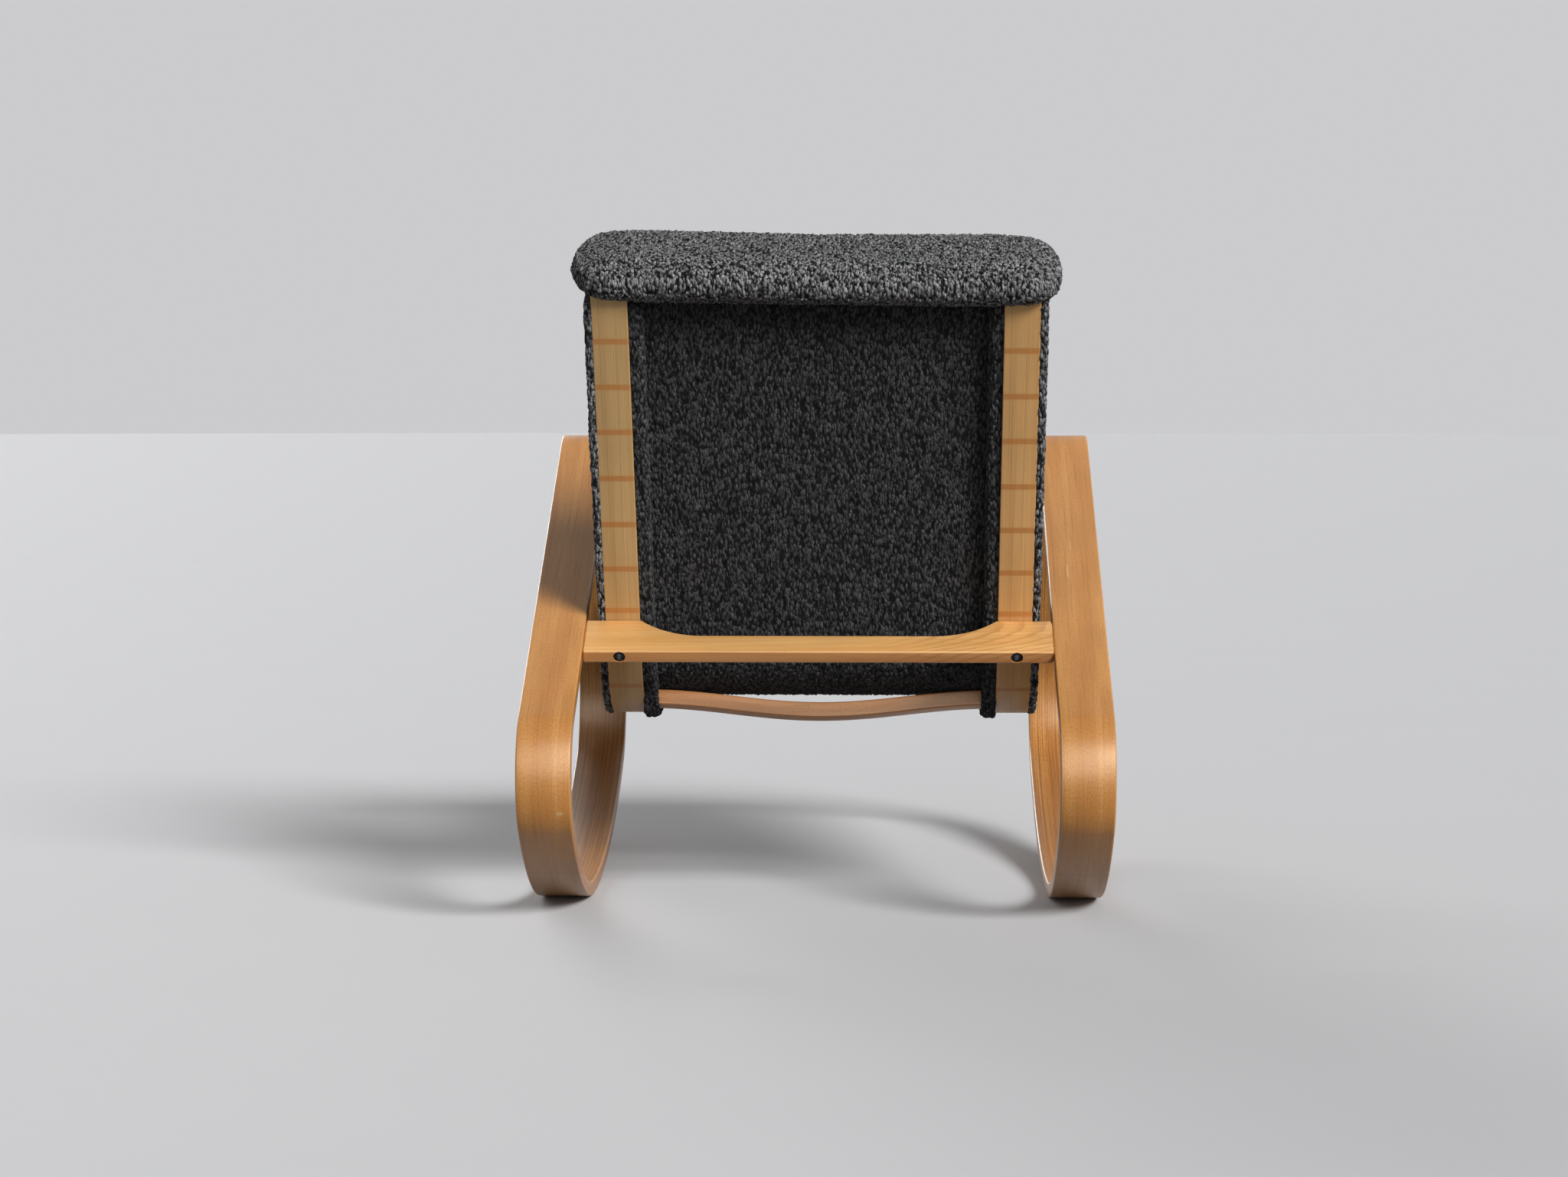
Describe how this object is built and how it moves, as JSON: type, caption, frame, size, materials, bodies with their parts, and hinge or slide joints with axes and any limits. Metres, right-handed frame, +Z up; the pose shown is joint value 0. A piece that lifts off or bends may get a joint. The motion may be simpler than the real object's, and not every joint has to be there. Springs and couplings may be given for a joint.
{
  "type": "rocking chair",
  "caption": "Rocking chair with closed bentwood loops as rockers and arms, cross bars, bent seat rails and an upholstered seat with a headrest roll.",
  "frame": {"origin": "on the floor, under the middle of the bounding box", "axes": "+Z up, the sitter faces -Y, +X is the sitter's left; the chair is symmetric across X"},
  "size_m": [0.68, 0.9126, 0.7964],
  "materials": {
    "honey_beech": "clear satin lacquer over bent laminated beech, honey toned",
    "pale_ash": "clear satin lacquer over ash with cathedral grain",
    "rail_ash": "matt lacquer over laminated pale wood",
    "pink_beech": "matt lacquer over solid beech",
    "dowel_wood": "raw beech dowel",
    "black_steel": "black oxide",
    "zinc_steel": "zinc plated",
    "charcoal_boucle": "charcoal boucle with grey flecks",
    "dark_lining": "charcoal boucle in shade",
    "webbing": "woven elastic webbing"
  },
  "bodies": {
    "root": {"back_pad": "charcoal_boucle", "bar_dowel_bowed_left": "dowel_wood", "bar_dowel_bowed_right": "dowel_wood", "bar_dowel_top_left": "dowel_wood", "bar_dowel_top_right": "dowel_wood", "bowed_bar": "pink_beech", "front_cross_bar": "pale_ash", "headrest_roll": "charcoal_boucle", "inner_edge_strip_left": "charcoal_boucle", "inner_edge_strip_right": "charcoal_boucle", "loop_dowel_front_left_1": "dowel_wood", "loop_dowel_front_left_2": "dowel_wood", "loop_dowel_front_right_1": "dowel_wood", "loop_dowel_front_right_2": "dowel_wood", "loop_dowel_rear_left_1": "dowel_wood", "loop_dowel_rear_left_2": "dowel_wood", "loop_dowel_rear_right_1": "dowel_wood", "loop_dowel_rear_right_2": "dowel_wood", "outer_edge_strip_left": "charcoal_boucle", "outer_edge_strip_right": "charcoal_boucle", "rail_bolt_front_left": "black_steel", "rail_bolt_front_right": "black_steel", "rail_bolt_rear_left": "black_steel", "rail_bolt_rear_right": "black_steel", "rail_insert_front_left": "zinc_steel", "rail_insert_front_right": "zinc_steel", "rail_insert_rear_left": "zinc_steel", "rail_insert_rear_right": "zinc_steel", "rear_cloth_panel": "dark_lining", "rear_cross_bar": "pale_ash", "seat_edge_strip_left": "dark_lining", "seat_edge_strip_right": "dark_lining", "seat_pad": "charcoal_boucle", "seat_rail_left": "rail_ash", "seat_rail_right": "rail_ash", "side_loop_left": "honey_beech", "side_loop_right": "honey_beech", "top_bar": "rail_ash", "webbing_strap_1": "webbing", "webbing_strap_10": "webbing", "webbing_strap_11": "webbing", "webbing_strap_12": "webbing", "webbing_strap_13": "webbing", "webbing_strap_14": "webbing", "webbing_strap_15": "webbing", "webbing_strap_16": "webbing", "webbing_strap_17": "webbing", "webbing_strap_18": "webbing", "webbing_strap_2": "webbing", "webbing_strap_3": "webbing", "webbing_strap_4": "webbing", "webbing_strap_5": "webbing", "webbing_strap_6": "webbing", "webbing_strap_7": "webbing", "webbing_strap_8": "webbing", "webbing_strap_9": "webbing"}
  },
  "joints": []
}
